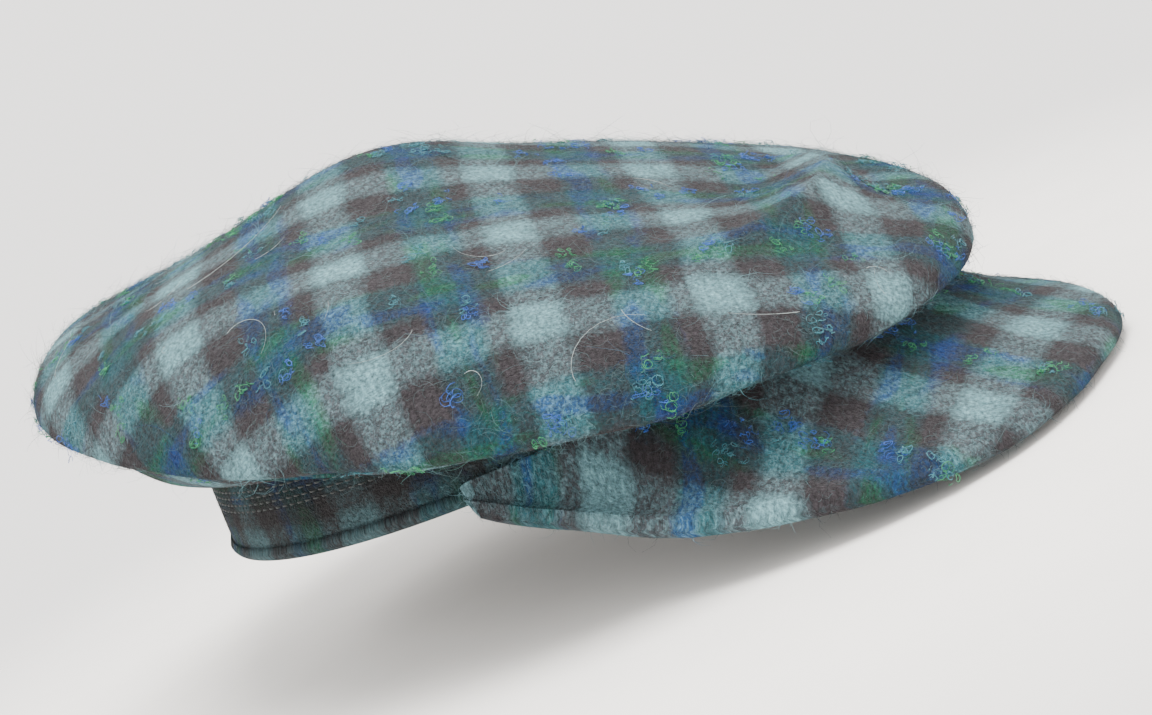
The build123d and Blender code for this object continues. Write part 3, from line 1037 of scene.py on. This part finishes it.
def add_curls(skin, visor_skin):
    """Boucle loops in blue, green and teal, scattered over the coloured stripes."""

    def on_stripe(turn, phase, axis):
        def wanted(cloth):
            a = np.radians(turn)
            u = cloth[:, 0] * np.cos(a) - cloth[:, 1] * np.sin(a)
            v = cloth[:, 0] * np.sin(a) + cloth[:, 1] * np.cos(a)
            share = (u if axis == 0 else v) / CHECK + phase[axis]
            return (share - np.floor(share)) > 0.70

        return wanted

    colors = {
        "green": (0.020, 0.190, 0.075),
        "blue": (0.014, 0.075, 0.330),
        "teal": (0.030, 0.150, 0.190),
    }
    for i, (word, color) in enumerate(colors.items()):
        yarn = plain_thread(f"boucle_{word}", color, 0.4)
        for axis in (0, 1):
            wanted = on_stripe(CROWN_GRAIN, CROWN_PHASE, axis)
            loops = curls(f"crown_boucle_{word}_{axis}", skin, 300, SEED + 50 + 2 * i + axis, wanted)
            place_piece(loops, yarn, "check_tweed")
        wanted = on_stripe(VISOR_GRAIN, VISOR_PHASE, 0)
        loops = curls(f"visor_boucle_{word}", visor_skin, 150, SEED + 60 + i, wanted)
        place_piece(loops, yarn, "check_tweed")


# ---------------------------------------------------------------- camera, floor and light

CAMERA_AZIMUTH = -54.2
CAMERA_ELEVATION = 7.7
CAMERA_ROLL = -26.5
CAMERA_DISTANCE = 0.670
CAMERA_AIM = Vector((0.0, -0.020, 0.030))
LENS = 76.25
VIEW_SHIFT = (0.0247, -0.0615)
SENSOR = 36.0

# The floor, in millimetres, and the radii between which it fades into the surround, in metres
FLOOR_HALF = 4000.0
FLOOR_GAP = 0.001
FLOOR_FADE = (0.16, 0.42)
SURROUND = (1.0, 0.975, 0.95, 1.0)
SURROUND_STRENGTH = 2.4


def set_camera():
    azimuth, elevation, roll = (np.radians(a) for a in (CAMERA_AZIMUTH, CAMERA_ELEVATION, CAMERA_ROLL))
    level = np.cos(elevation)
    back = Vector((np.sin(azimuth) * level, -np.cos(azimuth) * level, np.sin(elevation)))
    right = (-back).cross(Vector((0.0, 0.0, 1.0))).normalized()
    up = right.cross(-back)
    side = right * np.cos(roll) + up * np.sin(roll)
    top = up * np.cos(roll) - right * np.sin(roll)
    data = bpy.data.cameras.new("camera")
    data.lens = LENS
    data.sensor_width = SENSOR
    data.shift_x, data.shift_y = VIEW_SHIFT
    camera = bpy.data.objects.new("camera", data)
    turn = Matrix((side, top, back)).transposed().to_4x4()
    camera.matrix_world = Matrix.Translation(CAMERA_AIM + back * CAMERA_DISTANCE) @ turn
    bpy.context.scene.collection.objects.link(camera)
    bpy.context.scene.camera = camera
    return side, top, back


def add_light(name, place, size, power, color=(1.0, 1.0, 1.0)):
    data = bpy.data.lights.new(name, "AREA")
    data.size = size
    data.energy = power
    data.color = color
    light = bpy.data.objects.new(name, data)
    light.location = place
    light.rotation_euler = (CAMERA_AIM - Vector(place)).to_track_quat("-Z", "Y").to_euler()
    bpy.context.scene.collection.objects.link(light)


def set_stage(side, top, back):
    """A pale floor just under the cap, a pale surround, and soft light from the picture's upper left."""
    floor = make_object(
        "floor",
        FLOOR_HALF * np.array([[-1.0, -1.0, 0.0], [1.0, -1.0, 0.0], [1.0, 1.0, 0.0], [-1.0, 1.0, 0.0]]),
        np.array([[0, 1, 2, 3]]),
        smooth=False,
    )
    floor.location.z = cad_box[0][2] - FLOOR_GAP
    n = Nodes("floor_paint")
    where = n.add("ShaderNodeTexCoord").outputs["Object"]
    tone = n.ramp(n.noise(where, 30.0, 3.0), [(0.3, (0.80, 0.785, 0.76)), (0.7, (0.83, 0.815, 0.79))])
    n.finish(tone, 0.9)
    far = n.add("ShaderNodeVectorMath", operation="LENGTH")
    n.put(far.inputs[0], where)
    fade = n.add("ShaderNodeMapRange", interpolation_type="SMOOTHSTEP")
    n.put(fade.inputs["Value"], far.outputs["Value"])
    fade.inputs["From Min"].default_value = FLOOR_FADE[0]
    fade.inputs["From Max"].default_value = FLOOR_FADE[1]
    clear = n.add("ShaderNodeBsdfTransparent")
    both = n.add("ShaderNodeMixShader")
    n.put(both.inputs[0], fade.outputs[0])
    n.put(both.inputs[1], n.shader.outputs[0])
    n.put(both.inputs[2], clear.outputs[0])
    n.put(n.tree.nodes["Material Output"].inputs["Surface"], both.outputs[0])
    paint(floor, n.material)
    world = bpy.data.worlds.new("surround")
    world.use_nodes = True
    background = world.node_tree.nodes["Background"]
    background.inputs["Color"].default_value = SURROUND
    background.inputs["Strength"].default_value = SURROUND_STRENGTH
    bpy.context.scene.world = world
    add_light("key", CAMERA_AIM + top * 1.1 - side * 0.5 + back * 0.5, 0.8, 45.0, (1.0, 0.98, 0.95))
    add_light("fill", CAMERA_AIM + side * 1.0 + back * 0.9 + top * 0.2, 1.0, 3.0, (0.95, 0.97, 1.0))


crown_skin = build_crown()
visor_skin = build_visor()
build_band()
build_lining()
finish_hidden()
add_curls(crown_skin, visor_skin)
set_stage(*set_camera())
